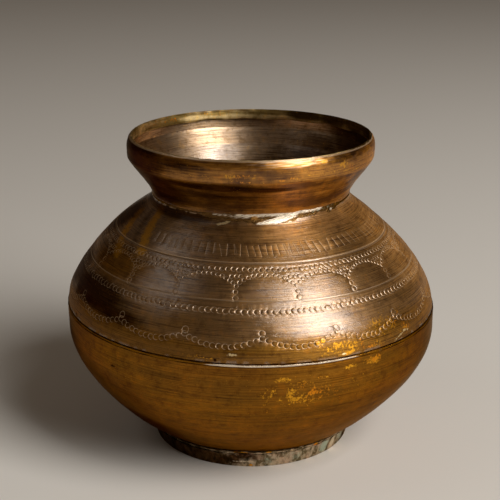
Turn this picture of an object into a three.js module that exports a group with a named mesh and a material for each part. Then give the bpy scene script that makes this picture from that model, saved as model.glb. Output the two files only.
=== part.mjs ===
import * as THREE from "three";

// Kalash: a squat water pot of beaten brass sheet, brazed together from raised shells and rings.
// Lengths are in millimetres, +Z is up, and the origin is on the axis at the underside of the foot.
// Every piece is a ring or shell turned about that axis, so each is drawn as a half section:
// a list of (radius, height) points that runs up its outside and down its inside.

// Sheet, clearance between neighbouring pieces, and the fineness of the turned surfaces
const sheet = 1.2;
const gap = 0.3;
const facets = 48;
const curveSteps = 9;
const filletSteps = 3;

// Foot ring and the braze between it and the bowl
const footTopRadius = 60;
const footTaper = 2;
const footThickness = 3;
const footBrazeThickness = 1;
const footBrazeOverhang = 0.6;

// Lower bowl: a flat base, one long curve, then an upright band that ends in the lip
const baseRadius = 46;
const baseLift = 5.5;
const bowlRise = 64.5;
const bellyRadius = 105.6;
const baseCurveReach = 15;
const bellyCurveReach = 25.4;
const bandBelowLap = 3;

// Belly joint: the upper shell's flange stands inside the bowl's lip, with braze on top of the lip
const lapDepth = 8;
const bellyBrazeHeight = 1.2;
const bellyBrazeProud = 0.2;

// Upper shell: the shoulder, the throat above it, and the spigot that the collar slips over
const shoulderInset = 0.8;
const shoulderRise = 57.2;
const shoulderLowerReach = 11.3;
const shoulderTopRun = 34.8;
const shoulderTopDrop = 24.5;
const throatInset = 3.2;
const throatRise = 5.5;
const neckRadius = 55.8;
const spigotHeight = 9;

// Neck braze: a fillet over the joint between throat and collar, thin at both edges
const neckBrazeThickness = 0.9;
const neckBrazeEdge = 0.3;
const neckBrazeHeight = 3.5;

// Collar: flares from the neck, turns upright at a crease, and leans in again to the flat lip
const collarRise = 21.1;
const collarFlare = 13.3;
const collarNeckReach = 4.3;
const collarCreaseReach = 1.6;
const brimRise = 11.1;
const brimBulge = 0.8;
const brimBulgeRise = 6.1;
const brimLean = 0.7;

// Mouth ring: a strip brazed inside the brim, level with the lip
const mouthRingHeight = 6.5;
const mouthRingThickness = 1;

// Levels and radii that follow from the sizes above
const footFloorRadius = footTopRadius - footTaper;
const bellyBandLevel = baseLift + bowlRise;
const bowlLipLevel = bellyBandLevel + bandBelowLap + lapDepth;
const bellyBrazeLevel = bowlLipLevel + gap;
const shoulderLevel = bellyBrazeLevel + bellyBrazeHeight + gap;
const shoulderRadius = bellyRadius - shoulderInset;
const flangeRadius = bellyRadius - sheet - gap;
const throatLevel = shoulderLevel + shoulderRise;
const throatRadius = neckRadius + throatInset;
const neckLevel = throatLevel + throatRise;
const collarLevel = neckLevel + gap;
const creaseLevel = collarLevel + collarRise;
const creaseRadius = neckRadius + collarFlare;
const lipLevel = creaseLevel + brimRise;
const lipRadius = creaseRadius - brimLean;

function point(radius, height) {
  return new THREE.Vector2(radius, height);
}

// Points beside a path, each moved square to it by a distance of its own: positive is to the
// right, which is outwards on a path that runs up the outside.
function beside(path, distanceAt) {
  return path.map((here, i) => {
    const before = path[Math.max(i - 1, 0)];
    const after = path[Math.min(i + 1, path.length - 1)];
    const along = after.clone().sub(before).normalize();
    const distance = distanceAt(i / (path.length - 1));
    return point(here.x + along.y * distance, here.y - along.x * distance);
  });
}

// The same distance all the way along
function constant(distance) {
  return () => distance;
}

// A closed half section: up the outside, down the inside, and back to the first point
function ringSection(outside, inside) {
  return [...outside, ...inside.toReversed(), outside[0].clone()];
}

function turned(name, section, color, roughness) {
  const material = new THREE.MeshStandardMaterial({ color, roughness, metalness: 1 });
  const mesh = new THREE.Mesh(new THREE.LatheGeometry(section, facets), material);
  mesh.name = name;
  mesh.rotation.x = Math.PI / 2;
  return mesh;
}

// Outside of the lower bowl from the edge of its base to the start of the upright band
const bowlCurve = new THREE.CubicBezierCurve(
  point(baseRadius, baseLift),
  point(baseRadius + baseCurveReach, baseLift),
  point(bellyRadius, bellyBandLevel - bellyCurveReach),
  point(bellyRadius, bellyBandLevel),
).getPoints(curveSteps);

// Outside of the shoulder from the belly joint to the throat
const shoulderCurve = new THREE.CubicBezierCurve(
  point(shoulderRadius, shoulderLevel),
  point(shoulderRadius, shoulderLevel + shoulderLowerReach),
  point(throatRadius + shoulderTopRun, throatLevel - shoulderTopDrop),
  point(throatRadius, throatLevel),
).getPoints(curveSteps);

// Outside of the throat: it leaves the shoulder along the shoulder's own slope and ends upright
const throatTurnLevel = throatLevel + (throatInset * shoulderTopDrop) / shoulderTopRun;
const throatCurve = new THREE.QuadraticBezierCurve(
  point(throatRadius, throatLevel),
  point(neckRadius, Math.min(throatTurnLevel, neckLevel)),
  point(neckRadius, neckLevel),
).getPoints(filletSteps);

// Outside of the collar from the neck joint to the crease
const flareCurve = new THREE.CubicBezierCurve(
  point(neckRadius, collarLevel),
  point(neckRadius, collarLevel + collarNeckReach),
  point(creaseRadius, creaseLevel - collarCreaseReach),
  point(creaseRadius, creaseLevel),
).getPoints(curveSteps);

// Outside of the brim from the crease to the lip
const brimCurve = new THREE.QuadraticBezierCurve(
  point(creaseRadius, creaseLevel),
  point(creaseRadius + brimBulge, creaseLevel + brimBulgeRise),
  point(lipRadius, lipLevel),
).getPoints(filletSteps);

// The place where a path first reaches a radius ("x") or a height ("y")
function reach(path, axis, value) {
  const next = Math.max(path.findIndex((place) => place[axis] >= value), 1);
  const low = path[next - 1];
  const share = (value - low[axis]) / (path[next][axis] - low[axis]);
  return low.clone().lerp(path[next], share);
}

// Height of the bowl's outer face at a radius inside the belly
function bowlUnderside(radius) {
  return radius <= baseRadius ? baseLift : reach(bowlCurve, "x", radius).y;
}

// A line across the foot at a given depth under the bowl, from the inner to the outer radius
function underBowl(innerRadius, outerRadius, depth) {
  const radii = [innerRadius, (innerRadius + outerRadius) / 2, outerRadius];
  return radii.map((radius) => point(radius, bowlUnderside(radius) - depth));
}

function footRing() {
  const depth = gap + footBrazeThickness + gap;
  const top = underBowl(footTopRadius - footThickness, footTopRadius, depth);
  const outside = [point(footFloorRadius, 0), ...top.toReversed()];
  const inside = [point(footFloorRadius - footThickness, 0)];
  return turned("foot_ring", ringSection(outside, inside), 0x8a8468, 0.7);
}

function footSolder() {
  const inner = footTopRadius - footThickness;
  const outer = footTopRadius + footBrazeOverhang;
  const under = underBowl(inner, outer, gap + footBrazeThickness);
  const over = underBowl(inner, outer, gap);
  return turned("foot_solder", ringSection(under, over), 0xb08a4a, 0.5);
}

function lowerBowl() {
  const outside = [
    point(0, baseLift),
    ...bowlCurve,
    point(bellyRadius, bowlLipLevel),
  ];
  const inside = [
    point(0, baseLift + sheet),
    ...beside(bowlCurve, constant(-sheet)),
    point(bellyRadius - sheet, bowlLipLevel),
  ];
  return turned("lower_bowl", [...outside, ...inside.toReversed()], 0x8c6426, 0.35);
}

function bellySolder() {
  const outerRadius = bellyRadius + bellyBrazeProud;
  const innerRadius = flangeRadius + gap;
  const top = bellyBrazeLevel + bellyBrazeHeight;
  const outside = [point(outerRadius, bellyBrazeLevel), point(outerRadius, top)];
  const inside = [point(innerRadius, bellyBrazeLevel), point(innerRadius, top)];
  return turned("belly_solder", ringSection(outside, inside), 0x9a7a44, 0.45);
}

function upperShell() {
  const spigotTop = reach(flareCurve, "y", collarLevel + spigotHeight);
  const spigotPath = [...flareCurve.filter((place) => place.y < spigotTop.y), spigotTop];
  const spigotOutside = beside(spigotPath, constant(-sheet - gap));
  const spigotInside = beside(spigotPath, constant(-sheet - gap - sheet));
  const shoulderInside = beside(shoulderCurve, constant(-sheet))
    .filter((place) => place.y > shoulderLevel + 2 * sheet);
  const throatInside = beside(throatCurve, (along) => -sheet - (sheet + gap) * along);
  const outside = [
    point(flangeRadius, bowlLipLevel - lapDepth),
    point(flangeRadius, shoulderLevel),
    ...shoulderCurve,
    ...throatCurve.slice(1),
    point(neckRadius - sheet - gap, neckLevel),
    ...spigotOutside.slice(1),
  ];
  const inside = [
    point(flangeRadius - sheet, bowlLipLevel - lapDepth),
    point(flangeRadius - sheet, shoulderLevel + sheet),
    ...shoulderInside.slice(0, -1),
    ...throatInside,
    ...spigotInside.slice(1),
  ];
  return turned("upper_shell", ringSection(outside, inside), 0x7a6648, 0.38);
}

function neckSolder() {
  const top = reach(flareCurve, "y", collarLevel + neckBrazeHeight);
  const collarFoot = flareCurve.slice(1).filter((place) => place.y < top.y);
  const joint = [...throatCurve.slice(1), ...collarFoot, top];
  const middleExtra = neckBrazeThickness - neckBrazeEdge;
  const thicknessAt = (along) => neckBrazeEdge + middleExtra * Math.sin(Math.PI * along);
  const inside = beside(joint, constant(gap));
  const outside = beside(joint, (along) => gap + thicknessAt(along));
  return turned("neck_solder", ringSection(outside, inside), 0xb9b4a0, 0.4);
}

function collar() {
  const outside = [...flareCurve, ...brimCurve.slice(1)];
  const inside = beside(outside, constant(-sheet)).slice(0, -1);
  inside.push(point(lipRadius - sheet, lipLevel));
  return turned("collar", ringSection(outside, inside), 0x8a6428, 0.4);
}

function mouthRing() {
  const lowLevel = lipLevel - mouthRingHeight;
  const lowRadius = reach(brimCurve, "y", lowLevel).x - sheet - gap;
  const topRadius = lipRadius - sheet - gap;
  const outside = [point(lowRadius, lowLevel), point(topRadius, lipLevel)];
  const inside = outside.map((place) => point(place.x - mouthRingThickness, place.y));
  return turned("mouth_ring", ringSection(outside, inside), 0x8c7a3a, 0.5);
}

const kalash = new THREE.Group();
kalash.add(
  footRing(),
  footSolder(),
  lowerBowl(),
  bellySolder(),
  upperShell(),
  neckSolder(),
  collar(),
  mouthRing(),
);

export default kalash;
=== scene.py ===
"""A squat water pot of beaten and brazed brass sheet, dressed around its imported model.

Lengths are in millimetres until a mesh is made. An angle runs round the axis from the front (-Y)
towards the right (+X). Profiles are (radius, height) points, and "along" is the way walked along a
profile, so that (angle, along) names a place on a turned surface.
"""

import math
from collections import namedtuple

import bmesh
import bpy
import numpy as np
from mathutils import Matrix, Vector, geometry


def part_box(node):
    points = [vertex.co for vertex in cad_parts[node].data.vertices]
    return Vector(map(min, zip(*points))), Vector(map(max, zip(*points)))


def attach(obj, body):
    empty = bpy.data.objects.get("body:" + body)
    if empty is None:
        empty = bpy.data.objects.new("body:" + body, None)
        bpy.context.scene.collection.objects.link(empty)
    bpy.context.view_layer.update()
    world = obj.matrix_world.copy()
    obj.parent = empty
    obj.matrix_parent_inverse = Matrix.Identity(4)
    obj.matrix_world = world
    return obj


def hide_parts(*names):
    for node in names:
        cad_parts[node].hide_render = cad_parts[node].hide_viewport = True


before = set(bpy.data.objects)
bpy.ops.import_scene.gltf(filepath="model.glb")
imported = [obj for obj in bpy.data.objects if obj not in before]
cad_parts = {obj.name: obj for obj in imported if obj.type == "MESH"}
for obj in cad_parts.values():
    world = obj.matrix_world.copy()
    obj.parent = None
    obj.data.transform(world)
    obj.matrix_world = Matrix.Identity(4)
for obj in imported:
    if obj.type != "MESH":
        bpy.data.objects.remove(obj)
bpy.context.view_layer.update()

MM = 0.001
FULL_TURN = 2 * math.pi

# Camera, as the photograph was taken
camera_place = (-0.00044, -0.6583, 0.3213)
camera_pitch = math.radians(72.124)
camera_lens = 86.4
camera_sensor = 36.0


def into_scene(name, data):
    """A new object that holds the data, linked into the scene."""
    made = bpy.data.objects.new(name, data)
    bpy.context.scene.collection.objects.link(made)
    return made


def add_camera():
    data = bpy.data.cameras.new("camera")
    data.lens = camera_lens
    data.sensor_width = camera_sensor
    camera = into_scene("camera", data)
    camera.location = camera_place
    camera.rotation_euler = (camera_pitch, 0, 0)
    bpy.context.scene.camera = camera


add_camera()


# Sizes that the frame gives

def reach_of(node):
    """Radius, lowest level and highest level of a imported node."""
    low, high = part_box(node)
    return high.x / MM, low.z / MM, high.z / MM


belly_radius, base_level, bowl_lip_level = reach_of("lower_bowl")
seam_radius, seam_low, seam_high = reach_of("belly_solder")
shoulder_radius, flange_low, spigot_level = reach_of("upper_shell")
collar_level, lip_level = reach_of("collar")[1:]
mouth_ring_low = reach_of("mouth_ring")[1]
foot_radius, foot_level = reach_of("foot_ring")[::2]
foot_braze_radius, foot_braze_low, foot_braze_high = reach_of("foot_solder")

# Sizes of the sheet and of the profile curves
sheet = 1.2
gap = 0.3
base_radius = 46.0
base_curve_reach = 15.0
belly_curve_reach = 25.4
belly_band_level = base_level + 64.5
shoulder_level = seam_high + gap
shoulder_lower_reach = 11.3
throat_level = shoulder_level + 57.2
throat_radius = 59.0
shoulder_top_run = 34.8
shoulder_top_drop = 24.5
neck_radius = 55.8
neck_level = collar_level - gap
crease_radius = 69.1
crease_level = collar_level + 21.1
collar_neck_reach = 4.3
collar_crease_reach = 1.6
brim_bulge = 0.8
brim_bulge_rise = 6.1
lip_radius = crease_radius - 0.7
flange_inset = 0.7
foot_floor_radius = foot_radius - 2.0
foot_thickness = 3.0

# Fineness of the turned surfaces
columns = 240


def smooth(value, low, high):
    """0 below low, 1 above high, and a soft step between them."""
    share = np.clip((value - low) / (high - low), 0, 1)
    return share * share * (3 - 2 * share)


def bell(distance, width):
    """1 where the distance is 0, and nearly 0 from twice the width on."""
    return np.exp(-((distance / width) ** 2))


def short_way(angle):
    """The same angle the short way round from the front, within half a turn."""
    return (angle + math.pi) % FULL_TURN - math.pi


def all_round(count):
    """Evenly spaced angles round the whole axis, from the back."""
    return np.linspace(-math.pi, math.pi, count, endpoint=False)


def bezier(steps, *points):
    """Points along a Bezier curve, both ends included."""
    points = np.array(points, float)
    degree = len(points) - 1
    share = np.linspace(0, 1, steps + 1)[:, None]
    weights = [math.comb(degree, k) * share**k * (1 - share) ** (degree - k) for k in range(degree + 1)]
    return sum(weight * point for weight, point in zip(weights, points))


def fine(points, step):
    """The same path with points no further apart than step."""
    points = np.array(points, float)
    made = [points[0]]
    for start, end in zip(points[:-1], points[1:]):
        count = max(1, math.ceil(np.hypot(*(end - start)) / step))
        made.extend(start + (end - start) * (k + 1) / count for k in range(count))
    return np.array(made)


def outward(path):
    """Unit normal to the right of a path, which is outwards where it runs up the outside."""
    along = np.gradient(np.array(path, float), axis=0)
    along = along / np.maximum(np.linalg.norm(along, axis=1, keepdims=True), 1e-9)
    return np.stack([along[:, 1], -along[:, 0]], axis=1)


def beside(path, distance):
    return np.array(path, float) + outward(path) * distance


def walked(path):
    """Distance along a path at each of its points."""
    steps = np.linalg.norm(np.diff(path, axis=0), axis=1)
    return np.concatenate([[0], np.cumsum(steps)])


def ripples(seed, angle, along, count, wave, turns=(2, 9)):
    """Soft uneven waves of height about 1 that close on themselves round the axis."""
    random = np.random.default_rng(seed)
    total = 0
    for _ in range(count):
        around = random.integers(*turns)
        spacing = wave * random.uniform(0.7, 1.5)
        start, shift = random.uniform(0, FULL_TURN, 2)
        total = total + np.cos(around * angle + start) * np.cos(FULL_TURN * along / spacing + shift)
    return total * math.sqrt(2 / count)


def ragged(seed, angle, count, turns):
    """An uneven line round the axis, of height about 1."""
    random = np.random.default_rng(seed)
    total = 0
    for _ in range(count):
        total = total + np.cos(random.integers(*turns) * angle + random.uniform(0, FULL_TURN))
    return total * math.sqrt(2 / count)


def hand_made(places):
    """The small leans of the real pot: its belly dips to the right, its foot stands off centre."""
    belly_dip, foot_offset = math.tan(math.radians(0.8)), 0.5
    belly_begins, belly_ends, foot_ends = (20, 75), (125, 150), (8, 45)
    x, y, z = np.array(places, float).T
    in_belly = smooth(z, *belly_begins) * (1 - smooth(z, *belly_ends))
    in_foot = 1 - smooth(z, *foot_ends)
    return np.stack([x + foot_offset * in_foot, y, z - belly_dip * x * in_belly], axis=1)


# Profiles

bowl_curve = bezier(
    110,
    (base_radius, base_level),
    (base_radius + base_curve_reach, base_level),
    (belly_radius, belly_band_level - belly_curve_reach),
    (belly_radius, belly_band_level),
)
bowl_outside = np.concatenate([fine([(0, base_level), (base_radius, base_level)], 3)[:-1], bowl_curve])
bowl_lip_round = [
    (belly_radius, bowl_lip_level - 0.3),
    (belly_radius - 0.02, bowl_lip_level - 0.08),
    (belly_radius - 0.15, bowl_lip_level),
]
shoulder_outside = bezier(
    160,
    (shoulder_radius, shoulder_level),
    (shoulder_radius, shoulder_level + shoulder_lower_reach),
    (throat_radius + shoulder_top_run, throat_level - shoulder_top_drop),
    (throat_radius, throat_level),
)
throat_turn_level = throat_level + (throat_radius - neck_radius) * shoulder_top_drop / shoulder_top_run
throat_outside = bezier(
    12, (throat_radius, throat_level), (neck_radius, throat_turn_level), (neck_radius, neck_level)
)
flare_outside = bezier(
    48,
    (neck_radius, collar_level),
    (neck_radius, collar_level + collar_neck_reach),
    (crease_radius, crease_level - collar_crease_reach),
    (crease_radius, crease_level),
)
brim_outside = bezier(
    24,
    (crease_radius, crease_level),
    (crease_radius + brim_bulge, crease_level + brim_bulge_rise),
    (lip_radius, lip_level),
)
shell_outside = np.concatenate([shoulder_outside, throat_outside[1:]])
shell_along = walked(shell_outside)
shell_length = shell_along[-1]


def shell_radius(along):
    return np.interp(along, shell_along, shell_outside[:, 0])


def shell_along_at(level):
    return np.interp(level, shell_outside[:, 1], shell_along)


# Marks of wear and tarnish, some of them painted shade and sheen: soft spots given by angle in degrees,
# height, width and tallness

Mark = namedtuple("Mark", "angle level wide tall strength inside", defaults=[False])


def painted(marks, angle, radius, level, inner=0.0):
    """How strongly each place carries the marks of its own face, from 0 to about 1."""
    total = np.zeros_like(angle)
    for mark in marks:
        turn = short_way(angle - math.radians(mark.angle))
        spread = np.hypot(turn * radius / mark.wide, (level - mark.level) / mark.tall)
        face = inner if mark.inside else 1 - inner
        total = np.maximum(total, face * mark.strength * bell(spread, 1.0))
    return total


def streak(start, end, wide, tall, strength, count=7):
    """A row of marks from one (angle, level) to another."""
    return [Mark(angle, level, wide, tall, strength) for angle, level in np.linspace(start, end, count)]


# Meshes

Places = namedtuple("Places", "angle radius level along inner")


def turned_places(path, count=columns):
    """Angle, radius and height of every corner when a path is turned, row by row."""
    grid = np.broadcast_to(all_round(count), (len(path), count))
    radius = np.repeat(path[:, :1], count, axis=1)
    level = np.repeat(path[:, 1:], count, axis=1)
    return grid, radius, level


def turned_faces(rows, count, closed):
    """Quads between the rows of a turned path, joined round, and end to end where it is closed."""
    low = count * np.arange(rows if closed else rows - 1)[:, None]
    high = (low + count) % (rows * count)
    here = np.arange(count)
    after = (here + 1) % count
    return np.stack([low + here, low + after, high + after, high + here], axis=-1).reshape(-1, 4)


def in_space(angle, radius, level):
    flat = [radius * np.sin(angle), -radius * np.cos(angle), level]
    return np.stack([np.ravel(part) for part in flat], axis=1)


def add_piece(name, places, faces, layers, finish, node):
    """A visible piece from corners in millimetres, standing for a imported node."""
    mesh = bpy.data.meshes.new(name)
    mesh.from_pydata((hand_made(places) * MM).tolist(), [], faces)
    for key, values in layers.items():
        layer = mesh.attributes.new(key, "FLOAT", "POINT")
        layer.data.foreach_set("value", np.ravel(values).astype(np.float32))
    work = bmesh.new()
    work.from_mesh(mesh)
    bmesh.ops.remove_doubles(work, verts=work.verts, dist=2e-6)
    bmesh.ops.recalc_face_normals(work, faces=work.faces)
    work.to_mesh(mesh)
    work.free()
    mesh.polygons.foreach_set("use_smooth", [True] * len(mesh.polygons))
    mesh.set_sharp_from_angle(angle=math.radians(55))
    mesh.materials.append(finish)
    piece = into_scene(name, mesh)
    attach(piece, "root")
    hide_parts(node)


def turned_piece(name, paths, shift, marks, finish, node, count=columns, relief=None):
    """A closed ring or shell turned from two paths, one up its outside and one down its inside.
    shift moves its places outwards, marks gives the layers of wear and painted shade, and relief a layer by
    formula."""
    path = np.concatenate(paths)
    angle, radius, level = turned_places(path, count)
    along = np.repeat(walked(path)[:, None], count, axis=1)
    inner = np.repeat((np.arange(len(path)) >= len(paths[0])).astype(float)[:, None], count, axis=1)
    at = Places(angle, radius, level, along, inner)
    moved = shift(at)
    normal = outward(path)
    places = in_space(angle, radius + moved * normal[:, :1], level + moved * normal[:, 1:])
    layers = {key: painted(spots, angle, radius, level, inner) for key, spots in marks.items()}
    layers |= {"along": along, "inner": inner}
    if relief is not None:
        layers["relief"] = relief(at)
    faces = turned_faces(len(path), count, True).tolist()
    add_piece(name, places, faces, layers, finish, node)


# Materials

class Finish:
    """One material, with short ways to add and join its shader nodes. Its colour grows step by step."""

    def __init__(self, name):
        self.material = bpy.data.materials.new(name)
        self.material.use_nodes = True
        self.nodes = self.material.node_tree.nodes
        self.surface = self.nodes["Principled BSDF"]
        self.place = self.add("TexCoord", {}).outputs["Object"]
        self.along = self.layer("along")
        self.colour = None
        self.give({"Specular Tint": edge_tint})

    def add(self, kind, values, **settings):
        node = self.nodes.new("ShaderNode" + kind)
        for setting, value in settings.items():
            setattr(node, setting, value)
        for socket, value in values.items():
            self.feed(node.inputs[socket], value)
        return node

    def feed(self, socket, value):
        if isinstance(value, bpy.types.NodeSocket):
            self.material.node_tree.links.new(value, socket)
        else:
            socket.default_value = value

    def give(self, values):
        """Sets sockets of the surface, or links nodes to them."""
        for socket, value in values.items():
            self.feed(self.surface.inputs[socket], value)

    def layer(self, name):
        return self.add("Attribute", {}, attribute_name=name).outputs["Fac"]

    def math(self, operation, first, second=0.0):
        return self.add("Math", {0: first, 1: second}, operation=operation).outputs[0]

    def times(self, first, second):
        return self.math("MULTIPLY", first, second)

    def plus(self, total, *parts):
        """The total, with each part added by its weight."""
        for part, weight in parts:
            total = self.math("ADD", total, self.times(part, weight))
        return total

    def vector(self, operation, first, second=(0, 0, 0)):
        return self.add("VectorMath", {0: first, 1: second}, operation=operation).outputs[0]

    def step(self, value, low, high, start=0.0, end=1.0):
        """value carried from low..high to start..end, with soft ends."""
        values = {"Value": value, "From Min": low, "From Max": high, "To Min": start, "To Max": end}
        return self.add("MapRange", values, interpolation_type="SMOOTHSTEP").outputs["Result"]

    def wear(self, layer, low, high, *noises, most=1.0):
        """Where a layer of wear shows. Noises of given weights break up its edge."""
        return self.step(self.plus(self.layer(layer), *noises), low, high, 0.0, most)

    def noise(self, vector, detail=4.0, roughness=0.55):
        values = {"Vector": vector, "Scale": 1.0, "Detail": detail, "Roughness": roughness}
        return self.add("TexNoise", values).outputs["Fac"]

    def spotty(self, size):
        """Coordinates for an even pattern whose cells are size millimetres across."""
        scale = 1 / (size * MM)
        return self.vector("MULTIPLY", self.place, (scale, scale, scale))

    def brushed(self, around, across):
        """Coordinates for a pattern drawn out round the axis, as brush lines are."""
        reach = belly_radius / around
        flat = self.vector("MULTIPLY", self.place, (1, 1, 0))
        turn = self.vector("MULTIPLY", self.vector("NORMALIZE", flat), (reach, reach, 0))
        climb = self.add("CombineXYZ", {"Z": self.math("DIVIDE", self.along, across)}).outputs[0]
        return self.vector("ADD", turn, climb)

    def blend(self, share, first, second, blend_type="MIX"):
        values = {0: share, 6: first, 7: second}
        return self.add("Mix", values, data_type="RGBA", blend_type=blend_type).outputs[2]

    def cover(self, share, colour):
        """Lays another colour over the finish where share is 1."""
        self.colour = self.blend(share, self.colour, colour)

    def shade(self, share, factor):
        """Multiplies the colour of the finish by the factor where share is 1."""
        self.colour = self.blend(share, self.colour, factor, "MULTIPLY")

    def bump(self, height, distance, below=None):
        values = {"Height": height, "Distance": distance * MM, "Strength": 1.0}
        if below is not None:
            values["Normal"] = below
        return self.add("Bump", values).outputs["Normal"]


def rgb(red, green, blue):
    return (red, green, blue, 1.0)


gold = rgb(0.80, 0.37, 0.02)
orange = rgb(0.74, 0.25, 0.01)
olive = rgb(0.72, 0.35, 0.03)
rubbed = rgb(0.84, 0.61, 0.38)
inner_brown = rgb(0.54, 0.38, 0.24)
tin = rgb(0.80, 0.68, 0.53)
cream = rgb(0.92, 0.72, 0.38)
verdigris = rgb(0.24, 0.27, 0.19)
edge_tint = rgb(0.52, 0.41, 0.24)


class Brass(Finish):
    """Turned brass: a brown patina under brush lines, worn, tarnished, splashed and given painted shade and
    sheen by its layers.
    """

    def __init__(self, name, coat):
        super().__init__(name)
        self.gloss = coat
        self.bands = self.noise(self.brushed(120, 5.0), 3.0)
        self.lines = self.noise(self.brushed(30, 0.38), 3.0, 0.6)
        self.clouds = self.noise(self.spotty(22), 4.0, 0.6)
        self.grain = self.noise(self.spotty(1.3), 5.0, 0.7)
        self.patches = self.noise(self.spotty(4.5), 4.0, 0.6)

    def dull(self, share, rest, full=1.0):
        """Leaves the rest of the coat's gloss where share is full."""
        self.gloss = self.times(self.gloss, self.step(share, 0, full, 1.0, rest))

    def add_patina(self, light, deep, mottle):
        spread = 0.25 * (1.2 - mottle)
        tone = self.plus(self.times(self.bands, 0.5), (self.clouds, 0.5))
        self.colour = self.blend(self.step(tone, 0.5 - spread, 0.5 + spread), deep, light)
        self.cover(self.times(self.layer("inner"), 0.85), inner_brown)

    def add_second_ground(self, colour):
        """A duller ground of another colour, where its layer calls for it."""
        share = self.wear("second", 0.7, 1.4, (self.clouds, 0.8), (self.lines, 0.3))
        self.cover(share, colour)
        self.dull(share, 0.15)

    def add_brush_lines(self, brush):
        """Lines and scratches round the axis, and an even grain and patches."""
        scratches = self.noise(self.brushed(26, 0.34), 1.0)
        self.shade(self.step(self.lines, 0.48, 0.64, 0.0, brush), rgb(0.55, 0.49, 0.41))
        self.shade(self.step(self.grain, 0.58, 0.70), rgb(0.55, 0.48, 0.38))
        self.shade(self.step(self.patches, 0.50, 0.68), rgb(0.72, 0.66, 0.55))
        self.shade(self.step(self.patches, 0.46, 0.32), rgb(1.25, 1.15, 0.9))
        self.shade(self.step(scratches, 0.62, 0.67, 0.0, brush), rgb(0.42, 0.35, 0.28))
        self.shade(self.step(scratches, 0.38, 0.33, 0.0, brush), rgb(1.3, 1.3, 1.35))

    def add_wear(self):
        """Bare gold, olive smears, dark tarnish that is partly painted shade, and dry places without gloss
        whose colour is lightened as painted sheen.
        """
        worn = self.wear("gold", 1.12, 1.29, (self.grain, 1.1), (self.patches, 0.5))
        self.cover(worn, self.blend(self.step(self.clouds, 0.38, 0.54), orange, gold))
        smeared = self.wear("smear", 0.8, 1.3, (self.grain, 1.1), most=0.85)
        self.cover(smeared, olive)
        self.dull(smeared, 0.3, 0.8)
        # The dark layer is tarnish in part and painted shade in part.
        self.tarnish_and_painted_shade = self.wear("dark", 0.75, 1.25, (self.clouds, 0.7), (self.lines, 0.3))
        self.shade(self.tarnish_and_painted_shade, rgb(0.20, 0.145, 0.08))
        self.dull(self.tarnish_and_painted_shade, 0.12)
        # The dry layer dulls the gloss and lightens the colour there as painted sheen.
        self.dry_and_painted_sheen = self.layer("dry_and_painted_sheen")
        self.shade(self.dry_and_painted_sheen, rgb(1.35, 1.24, 1.16))
        self.dull(self.dry_and_painted_sheen, 0.1)

    def add_relief(self):
        """Struck marks, rubbed at the edge and dark at the bottom, then specks and pale splashes."""
        relief = self.layer("relief")
        self.raised = self.step(relief, 0.015, 0.05)
        self.cover(self.step(relief, -0.012, -0.055, 0.0, 0.6), rubbed)
        self.shade(self.step(relief, -0.075, -0.13), rgb(0.42, 0.34, 0.26))
        # Raised places take the rubbed colour; at the front of the brim this is partly a painted highlight.
        self.cover(self.times(self.raised, 0.4), rubbed)
        specks = self.noise(self.spotty(0.7), 1.0)
        self.cover(self.step(specks, 0.70, 0.78, 0.0, 0.5), gold)
        self.cover(self.wear("pale", 1.0, 1.1, (self.grain, 1.0)), cream)

    def add_gloss(self, roughness, brush):
        """A gloss drawn out across the brush lines, and a coat over it."""
        hair = self.noise(self.brushed(9, 0.22), 2.0, 0.6)
        normal = self.bump(hair, 0.03, self.bump(self.lines, 0.10 * brush))
        normal = self.bump(self.step(self.grain, 0.62, 0.8), -0.03, normal)
        bare = self.step(self.raised, 0, 1, 1.0, 0.75)
        self.give({
            "Base Color": self.colour,
            "Metallic": self.times(bare, self.step(self.dry_and_painted_sheen, 0, 1, 1.0, 0.45)),
            "Roughness": self.plus(roughness - 0.08, (self.lines, 0.16), (self.tarnish_and_painted_shade, 0.10)),
            "Anisotropic": 0.6,
            "Anisotropic Rotation": 0.25,
            "Tangent": self.add("Tangent", {}, direction_type="RADIAL", axis="Z").outputs[0],
            "Normal": normal,
            "Coat Normal": normal,
            "Coat Weight": self.gloss,
            "Coat Roughness": 0.21,
            "Coat IOR": 2.0,
        })


def aged_brass(name, light, deep, roughness, coat, mottle=0.5, brush=1.0, second=None):
    """Patina between two browns, evener as mottle falls, with more or fewer brush lines over it."""
    brass = Brass(name, coat)
    brass.add_patina(light, deep, mottle)
    if second is not None:
        brass.add_second_ground(second)
    brass.add_brush_lines(brush)
    brass.add_wear()
    brass.add_relief()
    brass.add_gloss(roughness, brush)
    return brass.material


def braze_finish(name, body):
    """Braze, pale where it is bare and elsewhere as dark as its body, crusted with green."""
    finish = Finish(name)
    grain = finish.noise(finish.spotty(1.1), 5.0, 0.65)
    clouds = finish.noise(finish.spotty(6), 3.0)
    smear = finish.noise(finish.brushed(12, 0.55), 4.0, 0.65)
    bare = finish.wear("pale", 1.0, 1.25, (grain, 0.2), (smear, 0.9))
    green = finish.wear("green", 0.7, 0.9, (grain, 0.5))
    finish.colour = finish.blend(bare, body, tin)
    crust = finish.step(finish.plus(clouds, (grain, 0.6)), 0.88, 1.0, 0.0, 0.25)
    finish.cover(crust, rgb(0.26, 0.17, 0.09))
    finish.cover(finish.wear("gold", 0.7, 0.9, (grain, 0.5), most=0.8), rgb(0.50, 0.24, 0.06))
    finish.cover(green, verdigris)
    finish.give({
        "Base Color": finish.colour,
        "Metallic": finish.times(finish.step(bare, 0, 1, 1.0, 0.6), finish.step(green, 0, 1, 1.0, 0.2)),
        "Roughness": finish.step(smear, 0.35, 0.7, 0.22, 0.42),
        "Normal": finish.bump(smear, 0.3),
    })
    return finish.material


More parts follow.
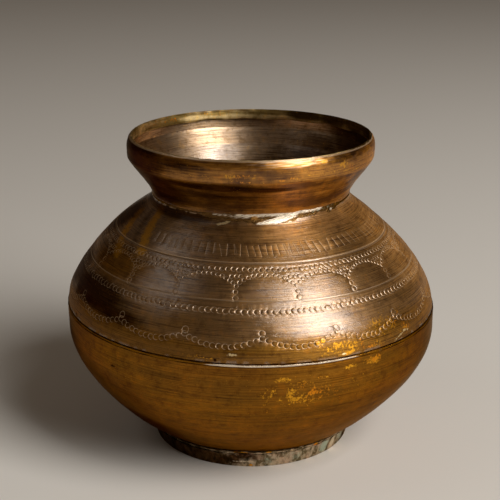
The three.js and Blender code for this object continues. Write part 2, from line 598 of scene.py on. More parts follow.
def foot_finish(name):
    """Hammered brass with grey-green verdigris and pinkish bare patches."""
    finish = Finish(name)
    upright = finish.vector("MULTIPLY", finish.place, (330, 330, 150))
    streaks = finish.noise(upright, 5.0, 0.65)
    grain = finish.noise(finish.spotty(1.0), 5.0, 0.7)
    clouds = finish.noise(finish.spotty(9), 3.0)
    ground, bright = rgb(0.16, 0.12, 0.06), rgb(0.62, 0.50, 0.35)
    green = finish.wear("green", 0.92, 1.2, (grain, 0.8), (streaks, 0.4))
    finish.colour = finish.blend(finish.step(streaks, 0.40, 0.60), ground, bright)
    finish.cover(finish.step(clouds, 0.50, 0.62, 0.0, 0.45), rgb(0.62, 0.40, 0.28))
    finish.cover(finish.times(green, 0.85), rgb(0.30, 0.36, 0.26))
    # The dark layer is partly painted shade.
    finish.shade(finish.wear("dark", 0.5, 1.0, (grain, 0.5)), rgb(0.17, 0.11, 0.06))
    finish.cover(finish.wear("pale", 0.95, 1.15, (streaks, 0.8)), rgb(0.80, 0.68, 0.50))
    finish.cover(finish.wear("gold", 0.85, 1.0, (grain, 0.7)), gold)
    finish.give({
        "Base Color": finish.colour,
        "Metallic": finish.step(green, 0.0, 1.0, 1.0, 0.25),
        "Roughness": finish.step(grain, 0.3, 0.7, 0.42, 0.68),
        "Normal": finish.bump(grain, 0.08, finish.bump(streaks, 0.12)),
    })
    return finish.material


# Lower bowl

scribe_level = 50.0


def scribed(distance, depth, width):
    """A fine cut line with a low burr above it."""
    return 0.3 * depth * bell(distance - 2 * width, width) - depth * bell(distance, width)


def bowl_shift(at):
    beaten = 0.22 * ripples(11, at.angle, at.along, 7, 60)
    beaten = beaten + 0.05 * ripples(12, at.angle, at.along, 9, 17, (8, 26))
    calm = smooth(at.radius, 6, 40) * (1 - 0.75 * smooth(at.level, 66, 78))
    line = scribed(at.level - scribe_level - 0.25 * np.sin(at.angle), 0.16, 0.22)
    shift = beaten * calm - 0.12 + line * (1 - at.inner)
    return np.where(at.inner == 0, np.minimum(shift, seam_radius - belly_radius), -0.4 * shift)


def bowl_paths():
    band = fine([(belly_radius, belly_band_level), bowl_lip_round[0]], 0.8)[1:]
    inside_curve = beside(bowl_outside, -sheet)[::3]
    inside_curve[:, 0] = np.maximum(inside_curve[:, 0], 0)
    inner_radius = belly_radius - sheet
    inside_band = fine([(inner_radius, bowl_lip_level), (inner_radius, belly_band_level)], 2)
    outside = np.concatenate([bowl_outside, band, bowl_lip_round[1:]])
    return outside, np.concatenate([inside_band, inside_curve[-2::-1]])


bowl_wear_and_shade = {
    "gold": [
        Mark(9, 74, 8, 3, 0.42), Mark(12, 68, 7, 3, 0.42), Mark(18, 65.5, 5, 3, 0.48),
        Mark(13, 62, 14, 7, 0.41), Mark(28.6, 77, 6, 2, 0.46), Mark(16, 64, 44, 16, 0.32),
        Mark(37, 77.5, 8, 3.4, 0.52),
    ],
    # dark: the wide marks on the left and round the bottom are painted shade; the small spots are pits
    "dark": [
        Mark(-80, 66, 38, 18, 0.72), Mark(-58, 24, 52, 17, 1.0), Mark(-80, 42, 38, 18, 0.85),
        Mark(-42, 54, 36, 24, 0.42), Mark(22, 70, 44, 5, 0.40), Mark(44, 50, 24, 12, 0.34),
        Mark(0, 12, 60, 8, 0.35), Mark(-8, 42, 0.8, 0.8, 1.2), Mark(-43.6, 68.8, 0.7, 0.7, 1.2),
        Mark(-36.8, 72.5, 0.7, 0.7, 1.2), Mark(32, 53, 1.6, 0.6, 1.0),
    ],
}


def add_lower_bowl():
    light, deep = rgb(0.335, 0.130, 0.008), rgb(0.20, 0.086, 0.007)
    finish = aged_brass("bowl_metal", light, deep, roughness=0.38, coat=0.05, mottle=0.4, brush=0.75)
    turned_piece("bowl", bowl_paths(), bowl_shift, bowl_wear_and_shade, finish, "lower_bowl")


# Belly seam

def seam_shift(at):
    cracked = bell(at.angle + 1.0, 0.45) + bell(at.angle - 1.35, 0.4)
    uneven = 0.10 * ragged(21, at.angle, 12, (6, 60))
    return np.where(at.inner == 0, -0.10 - 0.25 * cracked + uneven, 0)


def add_belly_seam():
    low, high = seam_low - gap, seam_high + gap
    inner = seam_radius - 2.0
    outside = [
        (belly_radius - 0.15, low),
        (belly_radius, low + 0.2),
        (belly_radius + 0.12, low + 0.7),
        (belly_radius - 0.10, high - 0.38),
        (shoulder_radius - 0.15, high - 0.30),
        (shoulder_radius - 0.5, high - 0.15),
    ]
    paths = outside, [(inner, high), (inner, low)]
    # The pale braze along the front and right of the bead is partly a painted highlight.
    marks = {"pale": streak((-6, low + 0.8), (26, low + 0.8), 14, 0.8, 0.95)}
    finish = braze_finish("seam_braze_metal", rgb(0.24, 0.10, 0.008))
    turned_piece("belly_seam", paths, seam_shift, marks, finish, "belly_solder", 2 * columns)


# Ornament on the shoulder: places of the punch marks, strokes and lines

Ring = namedtuple("Ring", "angle along radius depth tilt lean")
Stroke = namedtuple("Stroke", "angle along half_length slant depth")
Line = namedtuple("Line", "level cut cut_width ridge ridge_width ridge_rise mismatch join")

arcade_repeats, arcade_start = 18, math.radians(-5.0)
arcade_radius = 82.0
arcade_top = shoulder_level + 39.0
garland_repeats, garland_start = 16, math.radians(3.3)
garland_top = shoulder_level + 12.5
tick_level = shoulder_level + 48.6
ring_row_level = shoulder_level + 41.0
lower_row_level = shoulder_level + 24.0
line_upper = Line(shoulder_level + 43.4, 0.26, 0.26, 0.08, 0.24, 0.55, mismatch=0.0, join=0.0)
line_lower = Line(shoulder_level + 28.1, 0.15, 0.20, 0.04, 0.25, 0.45, mismatch=1.0, join=15.7)


def punched(random, angle, level, diameter, tilt):
    """One ring-punch mark, a little out of place, size and level as by hand."""
    along = shell_along_at(level) + random.normal(0, 0.12)
    radius = diameter / 2 * random.uniform(0.95, 1.05)
    depth = random.uniform(0.07, 0.12)
    turn = angle + random.normal(0, 0.10) / shell_radius(along)
    return Ring(turn, along, radius, depth, tilt * random.uniform(0.5, 1.4), random.normal(math.pi, 0.5))


def ring_row(random, level, diameter, pitch, tilt):
    around = FULL_TURN * shell_radius(shell_along_at(level))
    count = round(around / pitch)
    return [punched(random, FULL_TURN * k / count, level, diameter, tilt) for k in range(count)]


def chain(random, start, level_at, repeats, per_repeat, diameter, tilt, placed=float):
    """Rings evenly spaced along a curve that repeats round the pot. level_at takes 0..1."""
    share = np.linspace(0, 1, 201)
    along = shell_along_at(level_at(share))
    width = FULL_TURN / repeats
    across = share * width * shell_radius(along)
    way = walked(np.stack([across, along], axis=1))
    even = np.interp(np.arange(per_repeat) / per_repeat, way / way[-1], share)
    rings = []
    for k in range(repeats):
        for place in even:
            angle = placed(start + (k + place) * width)
            rings.append(punched(random, angle, level_at(place), diameter, tilt))
    return rings


def arcade_level(share):
    """Round arches that meet in points."""
    drop, fullness = 4.5, 2.5
    return arcade_top - drop * np.abs(2 * share - 1) ** fullness


def garland_level(share):
    """Swags that hang between points."""
    sag, fullness = 4.4, 2.0
    return garland_top - sag * (1 - np.abs(2 * share - 1) ** fullness)


def drifted(angle):
    """The arcade's spacing runs a little wide at the front right."""
    most, centre, spread = np.radians([1.7, 29, 15])
    return angle + most * bell(short_way(angle - centre), spread)


def pendants(random):
    """Two rings hung under each point of the arcade, and three that fill the space above it."""
    rings = []
    for k in range(arcade_repeats):
        angle = drifted(arcade_start + FULL_TURN * k / arcade_repeats)
        for drop, diameter in ((6.8, 2.5), (9.4, 3.0)):
            rings.append(punched(random, angle, arcade_top - drop, diameter, 0.3))
        for offset in (-2.4, 0.0, 2.4):
            rings.append(punched(random, angle + offset / arcade_radius, arcade_top - 0.8, 2.2, 0.6))
    return rings


def apex_rings(random):
    """One larger ring over each point of the garland."""
    angles = [garland_start + FULL_TURN * k / garland_repeats for k in range(garland_repeats)]
    return [punched(random, angle, garland_top + 2.1, 3.5, 0.3) for angle in angles]


def punched_rings():
    random = np.random.default_rng(5)
    rings = ring_row(random, ring_row_level, 2.6, 2.93, 0.8)
    rings += chain(random, arcade_start, arcade_level, arcade_repeats, 13, 2.1, 0.7, drifted)
    rings += pendants(random)
    rings += ring_row(random, lower_row_level, 3.1, 3.13, 1.1)
    rings += chain(random, garland_start, garland_level, garland_repeats, 13, 2.9, 1.0)
    return rings + apex_rings(random)


def tick_strokes():
    """Short upright strokes round the top of the shoulder, a few of them struck twice, some worn off."""
    random = np.random.default_rng(8)
    worn_from, worn_to = math.radians(-86), math.radians(-48)
    wide_pitch, closest, closer_reach = 3.7, 6, 24
    strokes = []
    angle = -math.pi
    while angle < math.pi - 0.04:
        closer = bell(math.degrees(angle) - closest, closer_reach)
        angle += math.radians(wide_pitch - 1.2 * closer) * random.uniform(0.88, 1.12)
        if worn_from < angle < worn_to:
            continue
        along = shell_along_at(tick_level) + random.normal(0, 0.35)
        half_length = random.uniform(3.4, 4.3)
        slant = random.normal(-0.10, 0.09)
        strokes.append(Stroke(angle, along, half_length, slant, random.uniform(0.055, 0.09)))
        if random.random() < 0.12:
            second = angle + random.uniform(0.008, 0.02)
            strokes.append(Stroke(second, along, half_length, slant - 0.1, 0.07))
    return strokes


def groove(distance, depth, width):
    return -depth * bell(distance, width)


def struck_relief(angle, along, rings, strokes):
    """Height that rings and strokes give to places on the shoulder."""
    order = np.argsort(angle)
    in_order = angle[order]
    local = shell_radius(along)
    relief = np.zeros(len(angle))

    def near(mark, size):
        """Places near a mark, and how far across and up they are, also past the cut at the back."""
        reach = (size + 0.9) / shell_radius(mark.along)
        for centre in (mark.angle - FULL_TURN, mark.angle, mark.angle + FULL_TURN):
            first, last = np.searchsorted(in_order, [centre - reach, centre + reach])
            found = order[first:last]
            yield found, (angle[found] - centre) * local[found], along[found] - mark.along

    for ring in rings:
        for places, across, up in near(ring, ring.radius):
            bearing = np.arctan2(up, across)
            depth = ring.depth * np.clip(1 + ring.tilt * np.cos(bearing - ring.lean), 0.1, 2)
            cut = groove(np.hypot(across, up) - ring.radius, depth, 0.12)
            relief[places] = np.minimum(relief[places], cut)
    for stroke in strokes:
        for places, across, up in near(stroke, stroke.half_length):
            past = np.maximum(np.abs(up) - stroke.half_length, 0)
            fading = smooth(np.abs(up), 0.85 * stroke.half_length, stroke.half_length + 0.2)
            cut = groove(np.hypot(across - up * stroke.slant, past), stroke.depth * (1 - fading), 0.11)
            relief[places] = np.minimum(relief[places], cut)
    return relief


def line_distance(line, angle, along):
    """How far above a line a place is. A line that was scribed round once ends beside its start."""
    share = ((angle - math.radians(line.join)) % FULL_TURN) / FULL_TURN
    return along - shell_along_at(line.level) - line.mismatch * (share - 0.5)


def line_relief(line, angle, along):
    distance = line_distance(line, angle, along)
    ridge = line.ridge * bell(distance - line.ridge_rise, line.ridge_width)
    return ridge + groove(distance, line.cut, line.cut_width)


def shell_relief(angle, along, rings, strokes):
    """How far the shoulder's places move outwards, and the share of it that marks and lines give."""
    edge = smooth(along, 0, 2) * (1 - smooth(along, shell_length - 3, shell_length))
    beaten = 0.20 * ripples(31, angle, along, 8, 55) + 0.05 * ripples(32, angle, along, 9, 15, (8, 26))
    detail = struck_relief(angle, along, rings, strokes)
    for line in (line_upper, line_lower):
        detail = detail + line_relief(line, angle, along)
    return (beaten - 0.1) * edge + detail, detail


# Points for the shoulder's mesh: close together across every mark, and wide apart between them

flat_radius = 85.0
mark_spacing = 0.10
field_spacing = 2.2
field_clearance = 0.85


def pairs(turn, along):
    return np.stack([turn.ravel(), along.ravel()], axis=1)


def ring_points(rings):
    """Circles of points inside, on and outside each ring's groove, and its middle."""
    offsets = np.array([-0.26, -0.12, 0.0, 0.12, 0.26])
    bearings = np.linspace(0, FULL_TURN, 12, endpoint=False)
    points = []
    for ring in rings:
        reach = (ring.radius + offsets)[:, None]
        turn = ring.angle + reach * np.cos(bearings) / shell_radius(ring.along)
        points.append(pairs(turn, ring.along + reach * np.sin(bearings)))
        points.append([[ring.angle, ring.along]])
    return np.concatenate(points)


def stroke_points(strokes):
    """Rows of points across each stroke's groove, to a little past its ends."""
    offsets = np.array([-0.24, -0.11, 0.0, 0.11, 0.24])
    points = []
    for stroke in strokes:
        up = np.linspace(-stroke.half_length - 0.3, stroke.half_length + 0.3, 9)[:, None]
        turn = stroke.angle + (offsets + up * stroke.slant) / shell_radius(stroke.along)
        points.append(pairs(turn, stroke.along + up + 0 * offsets))
    return np.concatenate(points)


def line_points(line):
    """Circles of points over the cut and the ridge of a scribed line."""
    offsets = np.array([-0.7, -0.35, -0.17, 0.0, 0.17, 0.4, 0.7, 1.05])
    angle = all_round(420)[:, None]
    return pairs(angle + 0 * offsets, offsets - line_distance(line, angle, 0 * angle))


def mark_points(marks):
    """A fine grid over each of the small marks of wear."""
    step = 0.45
    points = []
    for mark in marks:
        if mark.tall < 1.3:
            across = np.arange(-1.5 * mark.wide, 1.5 * mark.wide, step)
            across, up = np.meshgrid(across, np.arange(-1.6 * mark.tall, 1.6 * mark.tall, step))
            along = shell_along_at(mark.level) + up
            points.append(pairs(math.radians(mark.angle) + across / shell_radius(along), along))
    return np.concatenate(points)


def field_points():
    """A triangular field of points over the whole shoulder."""
    rows = round(shell_length / (field_spacing * 0.87))
    count = round(FULL_TURN * flat_radius / field_spacing)
    points = []
    for row in range(1, rows):
        angle = -math.pi + FULL_TURN * (np.arange(count) + 0.5 * (row % 2) + 0.25) / count
        points.append(pairs(angle, np.full(count, shell_length * row / rows)))
    return np.concatenate(points)


def border_points():
    """The edges of the unrolled shoulder: both rims, and the same column on both sides of the cut."""
    turn = np.linspace(-math.pi, math.pi, columns + 1)
    climb = np.linspace(0, shell_length, 76)[1:-1]
    rims = [pairs(turn, np.full(columns + 1, along)) for along in (0, shell_length)]
    cuts = [pairs(np.full(len(climb), side), climb) for side in (-math.pi, math.pi)]
    return np.concatenate(rims + cuts)


def cells_of(points, spacing, shift=0.0):
    """The squares of a grid that the points lie in."""
    return np.floor(points * [flat_radius, 1] / spacing + shift).astype(int)


def thinned(points, spacing):
    """The points without those that share a square of a grid with an earlier one."""
    for shift in (0.0, 0.5):
        first = np.unique(cells_of(points, spacing, shift), axis=0, return_index=True)[1]
        points = points[np.sort(first)]
    return points


def clear_of(points, others, spacing):
    """The points that have none of the others in their square of a grid or in one beside it."""
    taken, cells = cells_of(others, spacing), cells_of(points, spacing)
    wide = 4 * math.ceil(FULL_TURN * flat_radius / spacing)
    keys = [((taken[:, 0] + i) + wide * (taken[:, 1] + j)) for i in (-1, 0, 1) for j in (-1, 0, 1)]
    return points[~np.isin(cells[:, 0] + wide * cells[:, 1], np.concatenate(keys))]


def shoulder_points(rings, strokes):
    """The border, the points of every mark, and the field where no mark is near."""
    margin = 0.4
    border = border_points()
    wear = mark_points([mark for spots in shoulder_wear_shade_and_sheen.values() for mark in spots])
    lines = [line_points(line_upper), line_points(line_lower)]
    marks = np.concatenate([ring_points(rings), stroke_points(strokes), *lines, wear])
    marks[:, 0] = short_way(marks[:, 0])
    inside = np.abs(marks[:, 0]) < math.pi - margin / flat_radius
    inside &= np.abs(marks[:, 1] - shell_length / 2) < shell_length / 2 - margin
    marks = thinned(marks[inside], mark_spacing)
    field = clear_of(field_points(), np.concatenate([marks, border]), field_clearance)
    return np.concatenate([border, marks, field])


shoulder_wear_shade_and_sheen = {
    "gold": [
        Mark(20, 92, 3.4, 2.4, 0.56), Mark(29, 84.4, 6, 1.8, 0.60), Mark(38, 85, 9, 3, 0.42),
        Mark(26, 88, 26, 6, 0.37), Mark(44, 94, 22, 8, 0.36), Mark(52, 88, 10, 4, 0.42),
        Mark(-14, 84, 20, 3, 0.35), Mark(-3, 121, 9, 3, 0.28),
    ],
    # dark: the wide marks on the left, up to the neck, are painted shade; the streak among the smears is
    # tarnish and the small spots are pits
    "dark": [
        Mark(-60, 101, 36, 9, 1.1), Mark(-44, 96, 26, 5, 0.85), Mark(-82, 104, 24, 14, 0.9),
        Mark(-72, 120, 24, 12, 0.60), Mark(-86, 130, 22, 16, 0.8),
        *streak((-67, 142), (-54, 124), 5.0, 2.8, 0.55), Mark(-46, 143, 36, 4, 1.0),
        Mark(-88, 146, 32, 6, 1.0), Mark(-9.9, 84, 0.8, 0.8, 1.2), Mark(-66, 84.6, 1.2, 1.0, 1.2),
    ],
    "pale": [
        Mark(-5.2, 87.2, 4.4, 1.2, 0.70), Mark(27, 84.2, 2.4, 0.9, 0.72),
        *streak((46.2, 83.5), (50.0, 85.8), 1.1, 0.7, 0.66), Mark(51.3, 86.7, 2.8, 1.2, 0.70),
        Mark(53.0, 86.2, 1.4, 1.0, 0.66), *streak((-17, 141.0), (-13, 142.0), 1.8, 0.7, 0.85, 5),
        *streak((-13, 142.0), (-9, 144.3), 1.6, 0.8, 0.75, 5),
        *streak((10, 140.8), (32, 143.5), 4, 0.9, 0.42, 9),
    ],
    # dry: the right and left sides, dulled and lightened as painted sheen
    "dry_and_painted_sheen": [Mark(84, 118, 46, 50, 1.0), Mark(-92, 105, 30, 40, 1.0)],
    "smear": [
        *streak((-59, 142), (-48, 125), 4.6, 2.8, 0.85),
        *streak((-76, 136), (-60, 120), 5.0, 3.0, 0.80),
    ],
}


def shell_back_path():
    """The rest of the upper shell's profile: over the spigot, down the inside and up the flange."""
    spigot = flare_outside[flare_outside[:, 1] < spigot_level + 0.5]
    spigot_outer = beside(spigot, -sheet - gap)
    spigot_inner = beside(spigot, -2 * sheet - gap)
    inner = beside(shoulder_outside, -sheet)
    inner = inner[inner[:, 1] > shoulder_level + 2 * sheet][:-1]
    flange_radius = shoulder_radius - flange_inset
    return np.concatenate([
        fine([(neck_radius, neck_level), (neck_radius - sheet - gap, neck_level)], 0.5),
        spigot_outer[1::3],
        spigot_inner[::-3],
        inner[::-6],
        [(flange_radius - sheet, shoulder_level + sheet)],
        fine([(flange_radius - sheet, shoulder_level), (flange_radius - sheet, flange_low)], 3),
        fine([(flange_radius, flange_low), (flange_radius, shoulder_level)], 3),
        [(shoulder_radius, shoulder_level)],
    ])


def unrolled_mesh(points):
    """Triangles between flat (angle, along) points: their angles, their ways along and the faces."""
    flat = [Vector((angle * flat_radius, along)) for angle, along in points.tolist()]
    made = geometry.delaunay_2d_cdt(flat, [], [], 0, 1e-6, False)
    corners = np.array([tuple(corner) for corner in made[0]])
    return corners[:, 0] / flat_radius, corners[:, 1], [list(face) for face in made[2]]


def golden_ground(angle, radius, level):
    """The golden second ground: the shoulder's low edge, higher on the left, and two patches there."""
    front_edge, right_rise, left_rise, soft = 92.5, 4, 10, 8
    edge = front_edge + right_rise * np.sin(angle) + left_rise * bell(angle + 1.0, 0.5)
    patches = [Mark(-58, 117, 30, 9, 0.95), Mark(-20, 100, 34, 6, 0.5)]
    low_part = 1 - smooth(level, edge - soft, edge + soft)
    return np.maximum(low_part, painted(patches, angle, radius, level))


def add_upper_shell():
    rings, strokes = punched_rings(), tick_strokes()
    angle, along, faces = unrolled_mesh(shoulder_points(rings, strokes))
    shift, detail = shell_relief(angle, along, rings, strokes)
    normals = outward(shell_outside)
    radius, level = [np.interp(along, shell_along, shell_outside[:, axis]) for axis in (0, 1)]
    normal_r, normal_z = [np.interp(along, shell_along, normals[:, axis]) for axis in (0, 1)]
    front = in_space(angle, radius + shift * normal_r, level + shift * normal_z)
    path = shell_back_path()
    back_places = turned_places(path)
    back = in_space(*back_places)
    faces += (turned_faces(len(path), columns, False) + len(front)).tolist()

    on_front = {key: painted(spots, angle, radius, level) for key, spots in shoulder_wear_shade_and_sheen.items()}
    on_front |= {"along": along, "relief": detail, "second": golden_ground(angle, radius, level)}
    back_radius, back_level = back_places[1:]
    on_back = {
        # painted shade over the inside of the shell at the back
        "dark": painted([Mark(130, 120, 80, 60, 1.0)], *back_places),
        "along": shell_length + np.repeat(walked(path), columns),
        "inner": (back_radius < shoulder_radius - 1) & (back_level > flange_low + 1),
    }
    layers = {}
    for key in [*on_front, "inner"]:
        both = on_front.get(key, np.zeros(len(front))), on_back.get(key, np.zeros(len(back)))
        layers[key] = np.concatenate([np.ravel(part) for part in both])
    finish = aged_brass(
        "shoulder_metal",
        light=rgb(0.43, 0.23, 0.076),
        deep=rgb(0.24, 0.12, 0.03),
        roughness=0.52,
        coat=0.85,
        second=rgb(0.30, 0.137, 0.017),
    )
    places = np.concatenate([front, back])
    add_piece("shoulder", places, faces, layers, finish, "upper_shell")


# Neck braze

def add_ragged_ring(name, angle, walls, level, marks, sweep, finish, node):
    """A closed ring whose outer and inner wall share uneven levels. sweep slants its brush lines."""
    outer, inner = walls
    radius = np.concatenate([outer, inner[::-1]])
    level = np.concatenate([level, level[::-1]])
    grid = np.broadcast_to(angle, radius.shape)
    layers = {key: painted(spots, grid, radius, level) for key, spots in marks.items()}
    layers["along"] = level - sweep * grid
    faces = turned_faces(len(radius), len(angle), True).tolist()
    add_piece(name, in_space(grid, radius, level), faces, layers, finish, node)


neck_wear = {
    "pale": [
        *streak((-20, 145.6), (-2, 145), 3.4, 1.8, 0.56, 7),
        *streak((5, 140.5), (24, 145.5), 4, 2.4, 0.86, 7),
        *streak((-6, 146), (40, 146.5), 4, 1.8, 0.74, 19), Mark(50, 144, 2.0, 1.6, 0.7),
    ],
    "green": [
        *streak((-20, 147.2), (-8, 147.4), 2.5, 1.4, 0.62, 5),
        *streak((36, 145), (52, 146), 3, 1.6, 0.55, 5),
    ],
    "gold": [Mark(2, 144.5, 3.2, 1.6, 0.8), Mark(-24, 146, 4, 2, 0.4), Mark(55, 146, 3, 2, 0.6)],
}


def add_neck_braze():
    """An uneven fillet over the neck joint, thick and pale in front and a thin dark line behind."""
    angle = all_round(2 * columns)
    turns = np.radians([-30, -22, -12, 0, 5.7, 12, 19, 30, 42, 49, 53, 60])
    reach = np.interp(angle, turns, [0.6, 1.9, 2.6, 3.2, 7.4, 6.2, 4.0, 2.3, 1.5, 2.6, 2.0, 0.6])
    front = smooth(angle, -0.50, -0.25) * (1 - smooth(angle, 0.85, 1.05))
    top = neck_level + 0.5 + 0.6 * front + 0.15 * ragged(41, angle, 10, (5, 40))
    low = neck_level - reach + 0.14 * (1 + 1.5 * front) * ragged(42, angle, 14, (7, 90))
    thick = 0.12 + 0.12 * front + 0.04 * ragged(43, angle, 10, (6, 50))
    joint = np.concatenate([throat_outside[4:], flare_outside[1:12]])
    share = np.linspace(0, 1, 15)[:, None]
    level = low + (top - low) * share
    radius = np.interp(level, joint[:, 1], joint[:, 0])
    lumps = 0.10 * ripples(44, angle[None, :], level, 10, 4, (9, 40))
    outer = radius + 0.05 + np.maximum(thick, 0.1) * np.sin(math.pi * share) * (1 + lumps)
    walls = outer, radius - 0.05
    sweep = 0.27 * neck_radius
    finish = braze_finish("neck_braze_metal", rgb(0.15, 0.075, 0.022))
    add_ragged_ring(
        "neck_braze", angle, walls, level, neck_wear, sweep, finish, "neck_solder"
    )


# Collar and mouth

def rounded(path, passes):
    """The same path with its corners rounded, its ends kept."""
    path = np.array(path, float)
    for _ in range(passes):
        path[1:-1] = (path[:-2] + 2 * path[1:-1] + path[2:]) / 4
    return path


def lip_wear_and_highlight(at):
    """The edge of the lip is rubbed bare; the brim below it in front is rubbed too, and there the rubbed
    colour is partly a painted highlight.
    """
    edge = 0.07 * smooth(at.level, lip_level - 0.9, lip_level - 0.3)
    # Rubbed wear at the front right of the brim, partly a painted highlight
    handled_and_highlit = bell(at.angle - 0.32, 0.42) * smooth(at.level, lip_level - 7.0, lip_level - 2.0)
    scuffed = 0.55 + 0.45 * ripples(54, at.angle, at.level, 9, 1.6, (10, 40))
    return np.maximum(edge, 0.06 * handled_and_highlit * scuffed)


def collar_shift(at):
    """Beaten all over, battered and rolled in at the brim, with a worn lip and one notch in it."""
    angle, level = at.angle, at.level
    below_lip = level - lip_level
    beaten = 0.10 * ripples(51, angle, at.along, 7, 24) + 0.03 * ripples(52, angle, at.along, 8, 6, (9, 30))
    worn_lip = -0.22 * np.abs(ragged(53, angle, 9, (3, 40))) * smooth(below_lip, -1.0, 0)
    edge = smooth(level, collar_level, collar_level + 3) * (1 - smooth(below_lip, -3, 0))
    notch = -0.9 * bell(angle - 1.47, 0.03) * smooth(below_lip, -1.6, 0)
    rolled = -0.75 * smooth(below_lip, -4.5, 1.5)
    near_lip = smooth(below_lip, -7, -3) * (1 - smooth(below_lip, -1, 0))
    battered = 0.07 * ripples(55, angle, level, 12, 3.5, (16, 70)) * near_lip
    return beaten * edge * (1 - 1.4 * at.inner) + worn_lip + (notch + rolled + battered) * (1 - at.inner)


collar_wear_shade_and_sheen = {
    "gold": [
        *[Mark(angle, 168.2 + 1.3 * math.sin(angle), 8, 1.2, 0.36) for angle in range(-30, 60, 7)],
        Mark(-6, 170, 16, 2.4, 0.40), Mark(33, 175.5, 3, 1.4, 0.66), Mark(44, 172, 5, 3, 0.50),
    ],
    # dark: the marks on the left and those inside are painted shade; the others darken the top of the flare
    # and a spot by the lip
    "dark": [
        Mark(-66, 172, 38, 10, 1.2), Mark(-36, 174, 24, 6, 0.70), Mark(-62, 157, 36, 12, 1.1),
        Mark(-20, 163, 38, 2.8, 1.0), Mark(5, 162, 26, 2.2, 0.85), Mark(-15, 157, 36, 6, 0.60),
        Mark(36, 175, 3, 2, 0.45), Mark(110, 168, 40, 14, 1.1, True),
        Mark(80, 168, 30, 14, 1.0, True), Mark(140, 160, 30, 12, 0.85, True),
    ],
    # dry: the right and left sides, dulled and lightened as painted sheen
    "dry_and_painted_sheen": [Mark(84, 165, 24, 22, 1.0), Mark(-88, 165, 24, 22, 0.3)],
}


def add_collar():
    wall = rounded(np.concatenate([flare_outside, brim_outside[1:]]), 8)
    inner_radius = lip_radius - sheet
    lip_outside = [(lip_radius - 0.05, lip_level - 0.35), (lip_radius - 0.35, lip_level)]
    lip_inside = [(inner_radius + 0.1, lip_level), (inner_radius, lip_level - 0.3)]
    outside = np.concatenate([wall[:-1], lip_outside])
    inside = np.concatenate([lip_inside, beside(wall, -sheet)[-2::-1]])
    light, deep = rgb(0.50, 0.215, 0.026), rgb(0.19, 0.072, 0.006)
    finish = aged_brass("collar_metal", light, deep, roughness=0.38, coat=0.3, mottle=1.0, brush=0.9)
    paths = outside, inside
    turned_piece(
        "collar_skin", paths, collar_shift, collar_wear_shade_and_sheen, finish, "collar", relief=lip_wear_and_highlight
    )


mouth_wear_and_shade = {
    "green": [Mark(177, 175, 5, 2, 0.9), Mark(-165, 177, 8, 2, 0.7), Mark(150, 176, 12, 2, 0.4)],
    "gold": [Mark(-130, 176, 24, 3, 0.36), Mark(-160, 176, 20, 3, 0.34)],
    # dark: painted shade over the strip's right side and back
    "dark": [
        *streak((150, 176), (60, 176), 16, 4, 1.0, 6),
        *streak((-140, 177.4), (-176, 177.4), 8, 2.4, 0.62, 6), Mark(176, 175, 20, 4, 0.5),
    ],
}


def add_mouth_ring():
    """The strip inside the brim, with a ragged lower edge."""
    angle = all_round(2 * columns)
    low = mouth_ring_low + 0.5 + 0.22 * ragged(61, angle, 12, (3, 22))
    top = lip_level - 0.06 * np.abs(ragged(62, angle, 8, (5, 50)))
    share = np.array([0.0, 0.08, 0.3, 0.6, 0.9, 1.0])[:, None]
    level = low + (top - low) * share
    back = lip_radius - sheet - 0.05 + 0.1 * (lip_level - level) / 6
    dents = 0.10 * ripples(63, angle[None, :], level, 9, 4, (14, 60))
    proud = np.array([0.35, 0.9, 1.1, 1.1, 1.0, 0.7])[:, None] + dents
    walls = back, back - proud
    light, deep = rgb(0.88, 0.66, 0.32), rgb(0.34, 0.23, 0.07)
    finish = aged_brass("mouth_metal", light, deep, roughness=0.56, coat=0.15, mottle=1.0, brush=0.5)
    add_ragged_ring("mouth_strip", angle, walls, level, mouth_wear_and_shade, 0, finish, "mouth_ring")


# Foot

hollow_angle, hollow_level = -0.085, 7.0
hollow_half_width, hollow_half_height, hollow_depth = 7.0, 3.7, 1.4


def foot_dent(at):
    """One oval hollow at the front, beaten in across the top edge."""
    across = (at.angle - hollow_angle) * foot_radius / hollow_half_width
    hollow = np.hypot(across, (at.level - hollow_level) / hollow_half_height)
    return -hollow_depth * (1 - smooth(hollow, 0.6, 1.0))


def foot_shift(at):
    """Hammer marks on the strip."""
    blows = 0.10 * ragged(71, at.angle, 14, (30, 90))
    blows = blows + 0.16 * ripples(72, at.angle, at.level, 9, 7, (14, 50))
    narrow = -0.4 - 0.8 * (1 - at.level / foot_level)
    hammered = (np.minimum(blows, 0.35) - 0.1) * smooth(at.level, 0.0, 1.2)
    return np.where(at.inner == 0, hammered + foot_dent(at) + narrow, 0)


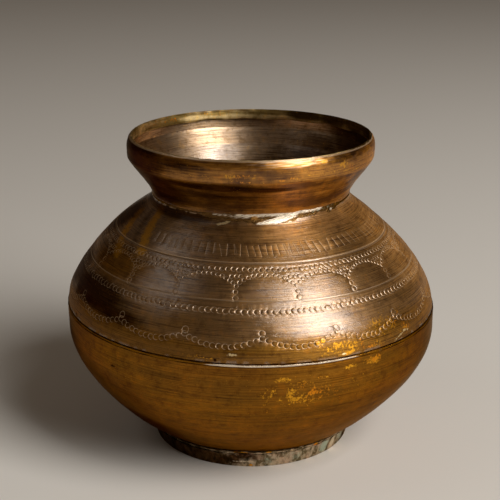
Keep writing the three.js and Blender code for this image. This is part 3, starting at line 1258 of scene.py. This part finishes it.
foot_wear_and_shade = {
    "green": [
        Mark(9, 4, 5, 8, 0.45), Mark(26, 4, 8, 8, 0.45), Mark(45, 5, 5, 6, 0.75),
        Mark(62, 4, 10, 8, 0.5), Mark(180, 4, 60, 8, 0.3),
    ],
    "gold": [
        Mark(-0.5, 1.0, 1.6, 1.0, 0.9), Mark(9, 10.4, 3.4, 0.8, 0.8),
        Mark(-6.2, 10.4, 5.2, 1.1, 1.1), Mark(37, 9.6, 2.6, 1.2, 0.8),
    ],
    # dark: painted shade on the left, inside the hollow and along the top under the bowl; the marks at the
    # right end darken it too
    "dark": [
        *streak((-95, 4), (-28, 4), 14, 9, 0.95, 8),
        *streak((-70, 10.7), (62, 10.7), 8, 0.8, 0.75, 18), Mark(-19, 4, 12, 8, 0.9),
        Mark(-10, 5, 6, 6, 0.85), Mark(-5.0, 6.9, 6.2, 3.1, 1.2), Mark(1.5, 6.5, 3.0, 3.5, 0.7),
        *streak((68, 4), (95, 4), 9, 9, 0.7, 4),
    ],
    "pale": [
        Mark(53, 5, 5, 8, 0.75), Mark(38, 5, 4, 8, 0.5),
        *streak((-10, 3.4), (0, 3.2), 2, 0.6, 0.85, 6),
        *streak((-9, 9.9), (-2, 10.1), 2, 0.4, 0.6, 5),
    ],
}


def add_foot():
    top, floor = foot_radius - foot_thickness, foot_floor_radius - foot_thickness
    outside = fine([(foot_floor_radius, 0.0), (foot_radius, foot_level)], 0.45)
    paths = outside, fine([(top, foot_level - 0.6), (floor, 0.0)], 1.5)
    finish = foot_finish("foot_metal")
    turned_piece("foot", paths, foot_shift, foot_wear_and_shade, finish, "foot_ring", 4 * columns)


def foot_braze_shift(at):
    uneven = 0.12 * ragged(81, at.angle, 14, (10, 70)) - 0.1
    return np.where(at.inner == 0, uneven + foot_dent(at), 0)


def add_foot_braze():
    inner = foot_braze_radius - 3.6
    corners = [
        (foot_radius - 0.5, foot_level - 0.6),
        (foot_radius - 0.4, foot_level),
        (foot_radius - 0.1, foot_braze_low + 1.2),
        (foot_braze_radius, foot_braze_high - 0.4),
        (foot_braze_radius + 0.5, foot_braze_high + 0.2),
    ]
    paths = fine(corners, 0.5), [(inner, foot_braze_low + 1.7), (inner, foot_braze_low + 0.5)]
    finish = foot_finish("foot_braze_metal")
    turned_piece(
        "foot_braze", paths, foot_braze_shift, foot_wear_and_shade, finish, "foot_solder", 3 * columns
    )


# Stage and light

def add_floor():
    half = 6.0
    corners = [(-half, -half, 0), (half, -half, 0), (half, half, 0), (-half, half, 0)]
    mesh = bpy.data.meshes.new("floor")
    mesh.from_pydata(corners, [], [(0, 1, 2, 3)])
    finish = bpy.data.materials.new("floor_paper")
    finish.use_nodes = True
    surface = finish.node_tree.nodes["Principled BSDF"]
    surface.inputs["Base Color"].default_value = rgb(0.80, 0.76, 0.70)
    surface.inputs["Roughness"].default_value = 0.9
    surface.inputs["Specular IOR Level"].default_value = 0.1
    mesh.materials.append(finish)
    floor = into_scene("floor", mesh)


light_aim = (0, 0, 0.09)


def add_softbox(name, place, size, power, colour):
    """A soft light at a place in metres, aimed at the middle of the pot."""
    data = bpy.data.lights.new(name, "AREA")
    data.shape = "RECTANGLE"
    data.size, data.size_y = size
    data.energy = power
    data.color = colour
    light = into_scene(name, data)
    light.location = place
    aim = Vector(light_aim) - light.location
    light.rotation_euler = aim.to_track_quat("-Z", "Y").to_euler()


def add_light():
    add_softbox("key", (1.44, -1.22, 1.48), size=(1.1, 1.8), power=56.0, colour=(1.0, 0.98, 0.95))
    add_softbox("fill", (-2.0, -0.30, 2.5), size=(1.8, 1.0), power=4.0, colour=(1.0, 0.97, 0.92))
    world = bpy.data.worlds.new("studio")
    world.use_nodes = True
    world.node_tree.nodes["Background"].inputs["Color"].default_value = rgb(0.06, 0.044, 0.03)
    bpy.context.scene.world = world


add_lower_bowl()
add_belly_seam()
add_upper_shell()
add_neck_braze()
add_collar()
add_mouth_ring()
add_foot()
add_foot_braze()
add_floor()
add_light()
bpy.context.scene.view_settings.view_transform = "Standard"
